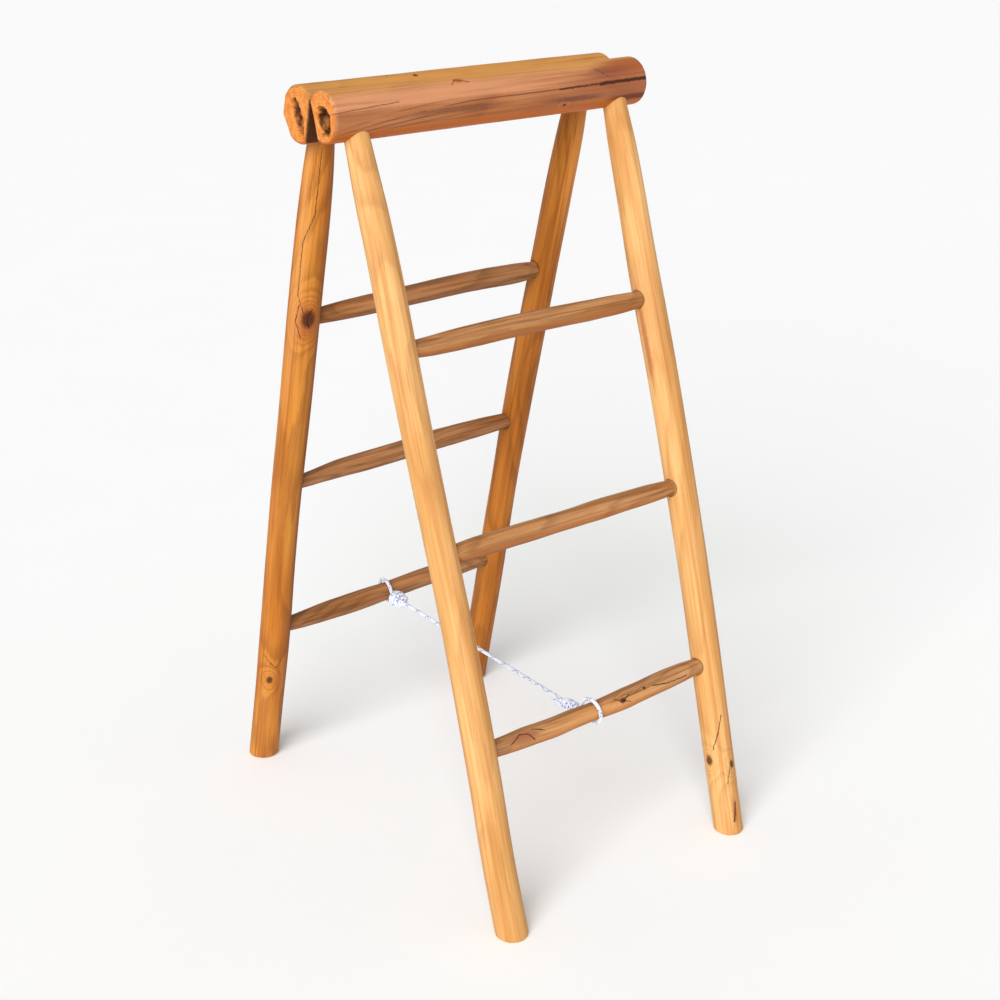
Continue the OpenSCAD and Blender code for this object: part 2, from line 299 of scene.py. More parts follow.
def make_leg(half, side, seed, knots):
    """A round leg with a worked neck, from inside its log down to a foot that is cut level."""
    name = f"{half}_{'left' if side < 0 else 'right'}"
    sides, rings, edge = 96, 300, 0.004
    theta = np.linspace(-math.pi, math.pi, sides, endpoint=False)
    inward = -1 if half == "front" else 1
    shape = in_metres(LEG_SHAPES[name])
    foot_r = along(shape, LEG_LENGTH)
    _, foot_ly = leg_axis(half, side, LEG_LENGTH)
    end = (HINGE_H - (foot_ly + inward * foot_r * np.cos(theta)) * math.sin(TILT)) / math.cos(TILT)
    verts, grain = [], []

    def ring(s, shrink=0.0, share=1.0):
        radius = along(shape, s)
        base = np.stack([radius * np.cos(theta), radius * np.sin(theta), s], 1)
        radius = radius * (1 + 0.012 * wobble(base, (30, 30, 7), seed))
        radius = radius + 0.0009 * wobble(base, (16, 16, 3.5), seed + 5) * ease((s - 0.05) / 0.1)
        radius = radius + knot_swell(s, theta, radius, knots)
        radius = (radius - shrink) * share
        x, ly = leg_axis(half, side, s)
        px = x + radius * np.sin(theta)
        py = ly + inward * radius * np.cos(theta)
        verts.append(np.stack([px, py, -s], 1))
        grain.append(np.stack([radius * np.cos(theta), radius * np.sin(theta), s], 1))

    top = np.full(sides, TENON_TOP)
    for t in np.linspace(0, 1, rings):
        ring(top + (end - edge - top) * t)
    for turn in np.linspace(0, math.pi / 2, 6)[1:]:
        ring(end - edge * (1 - math.sin(turn)), edge * (1 - math.cos(turn)))
    for share in (0.85, 0.68, 0.5, 0.32, 0.15):
        ring(end + 0 * theta, edge, share)
    # The foot is flat on the floor: its last rings are put on z = 0
    points = place(half, np.concatenate(verts))
    count = len(points)
    floor_rings = sides * 6
    points[-floor_rings:, 2] = 0.0
    centre_foot = points[-sides:].mean(0)
    centre_top = points[:sides].mean(0)
    grain = np.concatenate(grain)
    grain = np.vstack([grain, [[0, 0, grain[-sides:, 2].mean()], [0, 0, TENON_TOP]]])
    points = np.vstack([points, centre_foot, centre_top])
    faces = grid_faces(count // sides, sides)
    faces += cap_faces(count - sides, sides, count, False)
    faces += cap_faces(0, sides, count + 1, True)
    obj = new_object(f"wood_{name}_leg", points, faces, grain, crease=50)
    sawn = np.zeros((len(points), 3))
    sawn[count - floor_rings :, 0] = 1
    sawn[count + 1, 0] = 0
    set_vector(obj.data, "cut", sawn)
    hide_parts(f"{name}_leg")
    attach(obj, f"{half}_half")
    return obj


# Each rung's outline as (metres from the left leg's axis, radius in mm), and its crook as
# (the same distance, mm down the ladder)
RUNG_SHAPES = {
    "front_upper": (
        ((0.0, 11.5), (0.022, 12.3), (0.04, 13.4), (0.07, 14.9), (0.10, 15.9), (0.18, 16.4),
         (0.30, 16.2), (0.36, 15.8), (0.42, 14.6), (0.444, 13.2), (0.466, 11.5)),
        ((0.0, 1.5), (0.06, 2.2), (0.12, 1.2), (0.18, 0.3), (0.30, 0.3), (0.36, 1.3), (0.466, 0.8)),
    ),
    "front_middle": (
        ((0.0, 11.5), (0.022, 12.5), (0.045, 14.6), (0.12, 15.6), (0.20, 15.4), (0.27, 15.4),
         (0.30, 16.1), (0.36, 15.2), (0.42, 14.2), (0.442, 12.9), (0.466, 11.5)),
        ((0.0, 1.5), (0.12, 0.6), (0.24, 1.3), (0.30, 0.8), (0.38, 0.3), (0.466, 0.0)),
    ),
    "front_lower": (
        ((0.0, 11.5), (0.022, 12.6), (0.05, 13.6), (0.09, 15.3), (0.13, 15.4), (0.17, 15.2),
         (0.225, 14.2), (0.26, 15.4), (0.29, 16.5), (0.32, 16), (0.36, 16.2), (0.41, 15),
         (0.442, 12.8), (0.466, 11.5)),
        ((0.0, -0.5), (0.06, 2.4), (0.10, 3.2), (0.14, 5.2), (0.19, 5.0), (0.24, 6.0), (0.31, 5.0),
         (0.38, 1.6), (0.466, -1)),
    ),
    "rear_upper": (
        ((0.0, 11.5), (0.025, 12.2), (0.05, 13.6), (0.10, 15.4), (0.14, 15.8), (0.26, 15.8),
         (0.37, 16.4), (0.42, 15.6), (0.446, 13.2), (0.472, 11.5)),
        ((0.0, 3), (0.05, 2), (0.10, 1.4), (0.16, 1), (0.22, 0), (0.28, -1), (0.34, -0.8),
         (0.38, 0.8), (0.42, 2.0), (0.472, 2)),
    ),
    "rear_middle": (
        ((0.0, 11), (0.025, 11.2), (0.05, 12.2), (0.08, 14), (0.14, 15.9), (0.20, 16), (0.34, 16.3),
         (0.40, 15), (0.446, 12.8), (0.472, 11.5)),
        ((0.0, 4), (0.04, 3.2), (0.07, 1.2), (0.10, -0.4), (0.14, -0.4), (0.20, -0.9), (0.30, -3.4),
         (0.36, -3), (0.472, -1)),
    ),
    "rear_lower": (
        ((0.0, 11.5), (0.025, 12.2), (0.055, 14), (0.10, 16), (0.14, 16.8), (0.18, 17), (0.23, 15.6),
         (0.27, 16), (0.32, 16.2), (0.40, 15.6), (0.446, 12.8), (0.472, 11.5)),
        ((0.0, 2.5), (0.06, 3.6), (0.10, 2.6), (0.16, 2.8), (0.20, 2.2), (0.24, 1.0), (0.30, -1.2),
         (0.40, -1.2), (0.472, 0)),
    ),
}


def make_rung(half, level, seed, knots):
    """A peeled branch with worked ends that run into the legs."""
    name = f"{half}_{('upper', 'middle', 'lower')[level]}"
    left_s, right_s = RUNG_ENDS[half][level]
    shape, crook = RUNG_SHAPES[name]
    shape, crook = in_metres(shape), in_metres(crook)
    length = shape[-1][0]
    sides, rings = 64, 160
    theta = np.linspace(-math.pi, math.pi, sides, endpoint=False)
    inward = -1 if half == "front" else 1
    _, left_ly = leg_axis(half, -1, np.array(left_s))
    _, right_ly = leg_axis(half, 1, np.array(right_s))
    left_end = -length / 2
    verts, grain = [], []

    def ring(s, share=1.0):
        t = 2 * s / length - 1
        lean_l, lean_r = max(0.0, -t) ** 2, max(0.0, t) ** 2
        x = left_end + s
        ly = -LEG_OFFSET + (left_ly + LEG_OFFSET) * lean_l + (right_ly + LEG_OFFSET) * lean_r
        lz = -(left_s + (right_s - left_s) * s / length) - along(crook, s)
        radius = along(shape, s) * np.ones(sides)
        base = np.stack([radius * np.cos(theta), radius * np.sin(theta), s * np.ones(sides)], 1)
        worked = ease(min(s, length - s) / 0.07)
        radius = radius * (1 + 0.035 * worked * wobble(base, (45, 45, 11), seed))
        radius = radius * (1 + 0.02 * worked * wobble(base, (110, 110, 30), seed + 3))
        radius = radius + knot_swell(base[:, 2], theta, radius, knots)
        radius = radius * share
        across, up = radius * np.cos(theta), radius * np.sin(theta)
        verts.append(np.stack([x * np.ones(sides), ly + inward * across, lz + up], 1))
        grain.append(np.stack([across, up, s * np.ones(sides)], 1))

    ring(0.0, 0.5)
    for s in np.linspace(0, length, rings):
        ring(s)
    ring(length, 0.5)
    points = place(half, np.concatenate(verts))
    count = len(points)
    grain = np.concatenate(grain)
    points = np.vstack([points, points[:sides].mean(0), points[-sides:].mean(0)])
    grain = np.vstack([grain, [[0, 0, 0], [0, 0, length]]])
    faces = grid_faces(count // sides, sides)
    faces += cap_faces(0, sides, count, True)
    faces += cap_faces(count - sides, sides, count + 1, False)
    obj = new_object(f"wood_{name}_rung", points, faces, grain, crease=60)
    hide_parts(f"{name}_rung")
    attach(obj, f"{half}_half")
    return obj


# ---------------- top logs

# Hinges: distance from the middle, size of a leaf, depth of its seat, groove round the knuckles
HINGE_X = 0.150
HINGE_LENGTH = 0.060
LEAF_WIDTH = 0.028
LEAF_SEAT = 0.00195
GROOVE_R = 0.0042

# Hewn facets at the left ends: (degrees round, depth, how far along they run out)
LOG_LEFT = -0.280
HEWN = {"front": (), "rear": ((-135, 0.0030, 0.30), (176, 0.0012, 0.30))}


def log_centre(half):
    r = LOG_RADIUS[half]
    return FLAT_LY - FLAT_SHARE * r, -r * math.sqrt(1 - FLAT_SHARE**2)


def log_outline(half, theta, x, seed):
    """Distance from the log's centre to its skin; theta 0 is towards -Y in the open rack."""
    r = LOG_RADIUS[half]
    base = np.stack([r * np.cos(theta), r * np.sin(theta), x * np.ones_like(theta)], 1)
    skin = r * (1.018 + 0.010 * wobble(base, (22, 22, 5), seed))
    skin = skin + 0.0005 * wobble(base, (70, 70, 14), seed + 2)
    for degrees, depth, reach in HEWN[half]:
        facet = (r - depth) / np.maximum(np.cos(theta - math.radians(degrees)), 0.2)
        fade = ease((x - LOG_LEFT) / reach)
        skin = np.minimum(skin, facet * (1 - fade) + 0.1 * fade)
    toward_flat = -np.cos(theta) if half == "front" else np.cos(theta)
    flat = FLAT_SHARE * r / np.maximum(toward_flat, 1e-3)
    flat = np.where(toward_flat > 0.05, flat, 1.0)
    soft = 0.0016
    mix = np.clip(0.5 + 0.5 * (flat - skin) / soft, 0, 1)
    return skin * mix + flat * (1 - mix) - soft * mix * (1 - mix)


def make_log(half, seed, hollows):
    """A thick log with one flat side and softly rounded ends. hollows are the open pith and
    pocket at the left end: ((ly, lz) from the centre, (half width, half height), turn, depth)."""
    low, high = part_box(f"{half}_top_log")
    cy, cz = log_centre(half)
    inward = -1 if half == "front" else 1
    sides, rings, edge = 176, 150, 0.0045
    theta = np.linspace(-math.pi, math.pi, sides, endpoint=False)
    verts = []

    def ring(x, shrink=0.0, share=1.0, sink=None):
        radius = (log_outline(half, theta, x, seed) - shrink) * share
        a, b = radius * np.cos(theta), radius * np.sin(theta)
        px = x * np.ones(sides)
        if sink is not None:
            px = px + sink(a, b)
        verts.append(np.stack([px, cy + inward * a, cz + b], 1))

    def end_face(a, b):
        """The saw's marks on the left end, and how deep its hollows go."""
        face = 0.0004 * wobble(np.stack([a, b, 0 * a], 1), (90, 260, 1), seed + 9)
        for (at_a, at_b), (wide, tall), turn, depth in hollows:
            c, s = math.cos(math.radians(turn)), math.sin(math.radians(turn))
            u = ((a - at_a) * c + (b - at_b) * s) / wide
            v = (-(a - at_a) * s + (b - at_b) * c) / tall
            rough = 0.25 * wobble(np.stack([a, b, 0 * a], 1), (160, 160, 1), seed + 11)
            face = face + depth * ease((1.15 - np.sqrt(u * u + v * v) + rough) / 0.55)
        return face

    shares = np.linspace(0.03, 1, 34)
    for share in shares[:-1]:
        ring(low.x, edge, share, end_face)
    ring(low.x, edge, 1.0, end_face)
    for turn in np.linspace(0, math.pi / 2, 7)[1:]:
        ring(low.x + edge * (1 - math.cos(turn)), edge * (1 - math.sin(turn)))
    for x in np.linspace(low.x + edge, high.x - edge, rings)[1:-1]:
        ring(x)
    for turn in np.linspace(math.pi / 2, 0, 7):
        ring(high.x - edge * (1 - math.cos(turn)), edge * (1 - math.sin(turn)))
    for share in shares[::-1][1:]:
        ring(high.x, edge, share)
    points = place(half, np.concatenate(verts))
    count = len(points)
    points = np.vstack([points, points[:sides].mean(0), points[-sides:].mean(0)])
    faces = grid_faces(count // sides, sides)
    faces += cap_faces(0, sides, count, True)
    faces += cap_faces(count - sides, sides, count + 1, False)
    obj = new_object(f"wood_{half}_top_log", points, faces)
    cut_hinge_seats(obj, half)
    own = to_ladder(half, [v.co for v in obj.data.vertices])
    a, b, s = inward * (own[:, 1] - cy), own[:, 2] - cz, own[:, 0] - low.x
    set_grain(obj, np.stack([a, b, s], 1))
    within = np.hypot(a, b) < LOG_RADIUS[half] * 0.93
    within &= own[:, 1] < FLAT_LY - 0.0025
    ends = within & ((s < 0.024) | (s > high.x - low.x - 0.004))
    # Painted shade: the wood in the open hollows of the left end is painted darker the deeper it lies
    hollow_shade = ease((s - 0.0012) / 0.0045) * (within & (s < 0.024))
    # Painted shade: the flat face of the joint and its upper edge, for the deep shadow in the gap between
    # the two logs
    gap_shade = ease((own[:, 1] - FLAT_LY + 0.0022) / 0.0018)
    set_vector(obj.data, "cut", np.stack([ends, hollow_shade, gap_shade], 1))
    obj.data.shade_smooth()
    obj.data.set_sharp_from_angle(angle=math.radians(38))
    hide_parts(f"{half}_top_log")
    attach(obj, f"{half}_half")
    return obj


def box_mesh(half, low, high):
    """Corners and faces of a box given in the ladder's frame."""
    corners = [(x, y, z) for x in (low[0], high[0]) for y in (low[1], high[1]) for z in (low[2], high[2])]
    faces = [(0, 1, 3, 2), (4, 6, 7, 5), (0, 4, 5, 1), (2, 3, 7, 6), (0, 2, 6, 4), (1, 5, 7, 3)]
    return place(half, corners), faces


def cut_hinge_seats(obj, half):
    """Cuts the seat of each hinge leaf and the groove round its knuckles out of the flat."""
    cutters = []
    for i, x in enumerate((-HINGE_X, HINGE_X)):
        reach = HINGE_LENGTH / 2 + 0.0003
        points, faces = box_mesh(
            half, (x - reach, FLAT_LY - LEAF_SEAT, -LEAF_WIDTH - 0.0003), (x + reach, 0.004, -0.001)
        )
        cutters.append(new_object(f"cut_seat_{half}_{i}", points, faces))
        sides = 48
        turn = np.linspace(0, 2 * math.pi, sides, endpoint=False)
        ends = []
        for end in (-1, 1):
            px = np.full(sides, x + end * (HINGE_LENGTH / 2 + 0.003))
            ends.append(np.stack([px, GROOVE_R * np.cos(turn), GROOVE_R * np.sin(turn)], 1))
        points = place(half, np.concatenate(ends))
        faces = grid_faces(2, sides) + [tuple(range(sides)), tuple(range(sides, 2 * sides))]
        cutters.append(new_object(f"cut_groove_{half}_{i}", points, faces))
    for cutter in cutters:
        modifier = obj.modifiers.new("cut", "BOOLEAN")
        modifier.operation = "DIFFERENCE"
        modifier.solver = "EXACT"
        modifier.object = cutter
    depsgraph = bpy.context.evaluated_depsgraph_get()
    cut = bpy.data.meshes.new_from_object(obj.evaluated_get(depsgraph))
    obj.modifiers.clear()
    obj.data = cut
    for cutter in cutters:
        bpy.data.objects.remove(cutter)


# ---------------- cord

CORD_X = JOINTS["front_tie_swing"]["pos_m"][0]
FRONT_TIE = Vector(JOINTS["front_tie_swing"]["pos_m"])
REAR_TIE = Vector(JOINTS["rear_tie_swing"]["pos_m"])
CORD_FRONT = Vector((CORD_X, -0.216, 0.256))
CORD_MIDDLE = Vector((CORD_X, 0.003, 0.2632))
CORD_REAR = Vector((CORD_X, 0.226, 0.2705))
WEAVE_SIDES = 24
WEAVE_STEP = 0.0009
# The plait: ridges round the cord, and how fast they wind along it in radians per metre
PLAIT_RIDGES = 4.0
PLAIT_WIND = 700.0


def braid_tube(name, path, radius, closed=False, taper_ends=0.0):
    """A round braid along the path, with its plaited surface in the mesh. Its braid attribute
    holds the angle round it, the length along it and its radius."""
    path = [Vector(p) for p in path]
    if closed:
        path = path + [path[0]]
    dist = [0.0]
    for a, b in zip(path, path[1:]):
        dist.append(dist[-1] + (b - a).length)
    total = dist[-1]
    rings = max(8, int(total / WEAVE_STEP))
    coords = np.array([tuple(p) for p in path])
    stops = np.linspace(0, total, rings + 1)
    line = np.stack([np.interp(stops, dist, coords[:, i]) for i in range(3)], 1)
    if closed:
        line = line[:-1]
        stops = stops[:-1]
    count = len(line)
    tangent = np.roll(line, -1, 0) - np.roll(line, 1, 0)
    if not closed:
        tangent[0] = line[1] - line[0]
        tangent[-1] = line[-1] - line[-2]
    tangent /= np.linalg.norm(tangent, axis=1)[:, None]
    side = Vector((1, 0, 0)).cross(Vector(tangent[0]))
    if side.length < 0.1:
        side = Vector((0, 0, 1)).cross(Vector(tangent[0]))
    side = np.array(side.normalized())
    normals = []
    for t in tangent:
        side = side - t * (side @ t)
        side /= np.linalg.norm(side)
        normals.append(side)
    normals = np.array(normals)
    if closed:
        other = np.cross(tangent[0], normals[0])
        last = normals[-1] - tangent[0] * (normals[-1] @ tangent[0])
        slip = math.atan2(last @ other, last @ normals[0])
        turns = -slip * np.arange(count) / count
        across = np.cross(tangent, normals)
        normals = normals * np.cos(turns)[:, None] + across * np.sin(turns)[:, None]
    across = np.cross(tangent, normals)
    theta = np.linspace(0, 2 * math.pi, WEAVE_SIDES, endpoint=False)
    s = stops[:, None]
    ridges, wind = PLAIT_RIDGES * theta[None, :], s * PLAIT_WIND
    plait = np.sin(ridges + wind) * np.sin(ridges - wind)
    r = radius * (0.965 + 0.07 * plait)
    if taper_ends:
        near = np.minimum(stops, total - stops)[:, None]
        r = r * np.sqrt(np.clip(1 - (1 - np.clip(near / taper_ends, 0, 1)) ** 2, 0.02, 1))
    cos, sin = np.cos(theta)[None, :, None], np.sin(theta)[None, :, None]
    ring = normals[:, None, :] * cos + across[:, None, :] * sin
    verts = (line[:, None, :] + ring * r[:, :, None]).reshape(-1, 3)
    braid = np.stack(np.broadcast_arrays(theta[None, :], s, r), 2).reshape(-1, 3)
    faces = grid_faces(count, WEAVE_SIDES, closed)
    if not closed:
        n = len(verts)
        verts = np.vstack([verts, line[0], line[-1]])
        braid = np.vstack([braid, [0, s[0, 0], 0], [0, s[-1, 0], 0]])
        faces += cap_faces(0, WEAVE_SIDES, n, True)
        faces += cap_faces(n - WEAVE_SIDES, WEAVE_SIDES, n + 1, False)
    obj = new_object(name, verts, faces)
    set_vector(obj.data, "braid", braid)
    return obj


def straight(a, b, n):
    return [a.lerp(b, i / (n - 1)) for i in range(n)]


def tie_loop(name, axis, knot_end, radius, spread):
    """A loop of cord round a rung: round the far side, and then both strands to the knot."""
    toward = knot_end - axis
    toward.x = 0
    reach = toward.length
    u = toward.normalized()
    up = Vector((1, 0, 0)).cross(u)
    if up.z < 0:
        up = -up
    open_angle = math.acos(min(0.98, radius / reach))
    points = []
    for i in range(73):
        angle = open_angle + (2 * math.pi - 2 * open_angle) * i / 72
        shift = Vector((spread * math.sin(angle / 2 - math.pi / 2), 0, 0))
        points.append(axis + (u * math.cos(angle) + up * math.sin(angle)) * radius + shift)
    tip = axis + u * reach
    first, last = points[0], points[-1]
    gap = 0.0026
    near_a = tip + up * gap + Vector((-spread * 0.8, 0, 0))
    near_b = tip - up * gap + Vector((spread * 0.8, 0, 0))
    inside = tip + u * 0.006
    lead = [near_a.lerp(first, i / 8) for i in range(8)]
    tail = [last.lerp(near_b, (i + 1) / 8) for i in range(8)]
    return braid_tube(name, [inside] + lead + points + tail, CORD_D / 2, closed=True)


def spiral(axis_start, axis_end, radii, turns, steps):
    """Points of a coil round the line from start to end, its radius going through radii."""
    u = (axis_end - axis_start).normalized()
    a = Vector((1, 0, 0))
    b = u.cross(a)
    points = []
    for i in range(steps + 1):
        t = i / steps
        angle = 2 * math.pi * turns * t
        r = float(along([(k / (len(radii) - 1), v) for k, v in enumerate(radii)], np.array(t)))
        points.append(axis_start.lerp(axis_end, t) + (a * math.cos(angle) + b * math.sin(angle)) * r)
    return points


def smooth_path(points, n):
    """n points on a smooth curve through the given ones."""
    points = [Vector(p) for p in points]
    ends = [2 * points[0] - points[1]] + points + [2 * points[-1] - points[-2]]
    out = []
    spans = len(points) - 1
    for i in range(n):
        t = i / (n - 1) * spans
        k = min(int(t), spans - 1)
        t -= k
        p0, p1, p2, p3 = ends[k : k + 4]
        square = (2 * p0 - 5 * p1 + 4 * p2 - p3) * t**2
        cube = (3 * p1 - p0 - 3 * p2 + p3) * t**3
        out.append(0.5 * (2 * p1 + (p2 - p0) * t + square + cube))
    return out


def crossing(a, b, r):
    """A strand that crosses over a knot from one end to the other and half round it."""
    u = (b - a).normalized()
    side = Vector((1, 0, 0))
    up = u.cross(side)
    # (share of the way along, degrees round, share of r)
    rows = (
        (0.05, -60, 0.55), (0.2, -20, 0.9), (0.45, 30, 1.08), (0.7, 80, 1.02), (0.9, 130, 0.8),
        (1.0, 170, 0.5),
    )
    out = []
    for t, degrees, share in rows:
        turn = math.radians(degrees)
        out.append(a.lerp(b, t) + (side * math.cos(turn) + up * math.sin(turn)) * r * share)
    return out


def join(name, objects):
    """One object of several meshes, which keeps their attributes."""
    for obj in bpy.context.selected_objects:
        obj.select_set(False)
    for obj in objects:
        obj.select_set(True)
    bpy.context.view_layer.objects.active = objects[0]
    bpy.ops.object.join()
    objects[0].name = name
    objects[0].data.name = name
    return objects[0]


def dress(obj, body, slot, material, *nodes):
    obj.data.materials.clear()
    obj.data.materials.append(material)
    if nodes:
        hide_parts(*nodes)
    if body:
        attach(obj, body)


def make_cord(material):
    """The two halves of the cord, their knots and the loops round the bottom rungs."""
    front_u = (CORD_FRONT - CORD_MIDDLE).normalized()
    rear_u = (CORD_REAR - CORD_MIDDLE).normalized()
    # Front: slim knot of close wraps with a short free end that points back along the cord
    knot_a = CORD_FRONT - front_u * 0.002
    knot_b = CORD_FRONT + front_u * 0.034
    coil = spiral(knot_a, knot_b, (0.0028, 0.0055, 0.0062, 0.0058, 0.0026), 5.2, 220)
    wraps = braid_tube("wraps_front", coil, 0.0031, taper_ends=0.004)
    middle = straight(knot_a - front_u * 0.004, knot_b + front_u * 0.006, 12)
    core = braid_tube("core_front", middle, 0.0050, taper_ends=0.004)
    tail_path = [
        CORD_FRONT + front_u * 0.012 + Vector((0.004, 0, -0.006)),
        CORD_FRONT + front_u * 0.002 + Vector((0.001, 0, -0.0085)),
        CORD_FRONT - front_u * 0.012 + Vector((-0.002, 0, -0.0082)),
        CORD_FRONT - front_u * 0.026 + Vector((-0.004, 0, -0.0072)),
    ]
    tail = braid_tube("tail_front", smooth_path(tail_path, 40), 0.0029, taper_ends=0.002)
    front_knot = join("cord_front_knot", [wraps, core, tail])
    front_loop = tie_loop("cord_front_loop", FRONT_TIE, knot_b + front_u * 0.002, 0.0199, 0.004)
    # Rear: fat round knot, two layers of wraps crossing each other
    knot_a = CORD_REAR - rear_u * 0.004
    knot_b = CORD_REAR + rear_u * 0.029
    coil = spiral(knot_a, knot_b, (0.004, 0.0085, 0.0108, 0.0108, 0.007), 4.3, 260)
    wraps = braid_tube("wraps_rear", coil, 0.0036, taper_ends=0.004)
    strand = smooth_path(crossing(knot_a, knot_b, 0.0115), 90)
    cross = braid_tube("cross_rear", strand, 0.0031, taper_ends=0.003)
    core_radii = (0.0, 0.004, 0.0045, 0.004, 0.0)
    middle = spiral(knot_a - rear_u * 0.006, knot_b + rear_u * 0.002, core_radii, 3.0, 120)
    core = braid_tube("core_rear", middle, 0.0044, taper_ends=0.005)
    rear_knot = join("cord_rear_knot", [wraps, cross, core])
    rear_loop = tie_loop("cord_rear_loop", REAR_TIE, knot_b - rear_u * 0.001, 0.0205, 0.0035)

    front_path = straight(CORD_FRONT, CORD_MIDDLE, 20)
    rear_path = straight(CORD_REAR, CORD_MIDDLE, 20)
    front_cord = braid_tube("cord_front", front_path, CORD_D / 2)
    rear_cord = braid_tube("cord_rear", rear_path, CORD_D / 2)
    dress(front_knot, "front_tie", "cord_braid", material, "front_cord_knot")
    dress(front_loop, "front_tie", "cord_braid", material, "front_cord_loop")
    dress(rear_knot, "rear_tie", "cord_braid", material, "rear_cord_knot")
    dress(rear_loop, "rear_tie", "cord_braid", material, "rear_cord_loop")
    dress(front_cord, None, "cord_braid", material, "front_cord", "front_cord_end")
    dress(rear_cord, None, "cord_braid", material, "rear_cord", "rear_cord_end")
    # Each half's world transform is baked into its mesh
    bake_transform(front_cord)
    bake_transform(rear_cord)


# ---------------- materials


def srgb(r, g, b):
    """Colour from the usual 0 to 255 values."""
    def linear(c):
        c /= 255
        return c / 12.92 if c <= 0.04045 else ((c + 0.055) / 1.055) ** 2.4
    return (linear(r), linear(g), linear(b), 1.0)


class Graph:
    """Short names for building one material's nodes."""

    def __init__(self, name):
        self.material = bpy.data.materials.new(name)
        self.material.use_nodes = True
        self.tree = self.material.node_tree
        self.tree.nodes.clear()

    def node(self, kind, inputs=(), **settings):
        made = self.tree.nodes.new("ShaderNode" + kind)
        for key, value in settings.items():
            setattr(made, key, value)
        for key, value in dict(inputs).items():
            if isinstance(value, bpy.types.NodeSocket):
                self.tree.links.new(value, made.inputs[key])
            else:
                made.inputs[key].default_value = value
        return made

    def math(self, operation, *values, clamp=False):
        return self.node("Math", enumerate(values), operation=operation, use_clamp=clamp).outputs[0]

    def times(self, a, b):
        return self.math("MULTIPLY", a, b)

    def madd(self, a, b, c):
        return self.math("MULTIPLY_ADD", a, b, c)

    def vector(self, operation, *values):
        made = self.node("VectorMath", enumerate(values), operation=operation)
        return made.outputs["Value" if operation in ("LENGTH", "DOT_PRODUCT", "DISTANCE") else "Vector"]

    def attribute(self, name):
        return self.node("Attribute", attribute_name=name).outputs["Vector"]

    def combine(self, x=0.0, y=0.0, z=0.0):
        return self.node("CombineXYZ", {"X": x, "Y": y, "Z": z}).outputs[0]

    def separate(self, vector):
        return self.node("SeparateXYZ", {0: vector}).outputs

    def noise(self, vector, scale=1.0, detail=2.0, rough=0.5):
        values = {"Vector": vector, "Scale": scale, "Detail": detail, "Roughness": rough}
        return self.node("TexNoise", values)

    def step(self, low, high, value):
        """Smooth 0 to 1 as value goes from low to high (or 1 to 0 when low is above high)."""
        values = {"Value": value, "From Min": low, "From Max": high}
        return self.node("MapRange", values, interpolation_type="SMOOTHSTEP").outputs[0]

    def mix(self, share, a, b, blend="MIX"):
        made = self.node("Mix", data_type="RGBA", blend_type=blend)
        for index, value in ((0, share), (6, a), (7, b)):
            if isinstance(value, bpy.types.NodeSocket):
                self.tree.links.new(value, made.inputs[index])
            else:
                made.inputs[index].default_value = value
        return made.outputs[2]

    def finish(self, shader):
        out = self.node("OutputMaterial")
        self.tree.links.new(shader.outputs[0], out.inputs["Surface"])
        return self.material


def wood_look(light, mid, dark, line, ring, drift, line_share, streak_share, fibre_share):
    """Colours of one kind of piece, its ring spacing and wander in metres, and how strongly
    its ring lines, broad streaks and fine fibres show."""
    return dict(
        light=srgb(*light), mid=srgb(*mid), dark=srgb(*dark), line=srgb(*line), ring=ring,
        drift=drift, line_share=line_share, streak_share=streak_share, fibre_share=fibre_share,
    )


FRONT_LEG_LOOK = wood_look(
    (224, 176, 116), (202, 148, 84), (178, 114, 52), (146, 80, 30), 0.0040, 0.008, 0.22, 0.66, 0.46
)
REAR_LEFT_LOOK = wood_look(
    (204, 136, 56), (182, 108, 34), (146, 76, 16), (104, 48, 12), 0.0040, 0.010, 0.34, 0.62, 0.42
)
REAR_RIGHT_LOOK = wood_look(
    (184, 114, 40), (156, 88, 22), (122, 62, 12), (86, 42, 10), 0.0040, 0.010, 0.30, 0.62, 0.42
)
FRONT_RUNG_LOOK = wood_look(
    (192, 142, 96), (164, 108, 58), (116, 66, 28), (72, 38, 16), 0.0034, 0.010, 0.30, 0.72, 0.55
)
REAR_RUNG_LOOK = wood_look(
    (174, 124, 82), (144, 90, 45), (98, 52, 20), (60, 30, 12), 0.0034, 0.010, 0.30, 0.72, 0.55
)
FRONT_LOG_LOOK = wood_look(
    (190, 132, 90), (170, 106, 62), (138, 74, 38), (88, 38, 26), 0.0060, 0.010, 0.26, 0.60, 0.46
)
REAR_LOG_LOOK = wood_look(
    (192, 136, 80), (170, 110, 52), (132, 74, 30), (88, 42, 18), 0.0050, 0.010, 0.34, 0.62, 0.48
)
PINK_TINT = srgb(206, 128, 82)
KNOT_DARK = srgb(62, 30, 12)
# Dark of the cracks, and painted shade of the gap round each rung's seat in a leg
CRACK_AND_SEAT_SHADE_DARK = srgb(38, 18, 8)
END_LIGHT, END_MID, END_DARK = srgb(226, 150, 78), srgb(206, 120, 46), srgb(150, 78, 26)
# Painted shade for the hollows of the log end, mottled from pale to deep
HOLLOW_SHADE_PALE, HOLLOW_SHADE_DEEP = srgb(150, 92, 40), srgb(66, 30, 10)
# Near-black painted shade for the flat faces in the gap between the logs
GAP_SHADE_DARK = srgb(58, 28, 12)
SAWN_RING = 0.0034


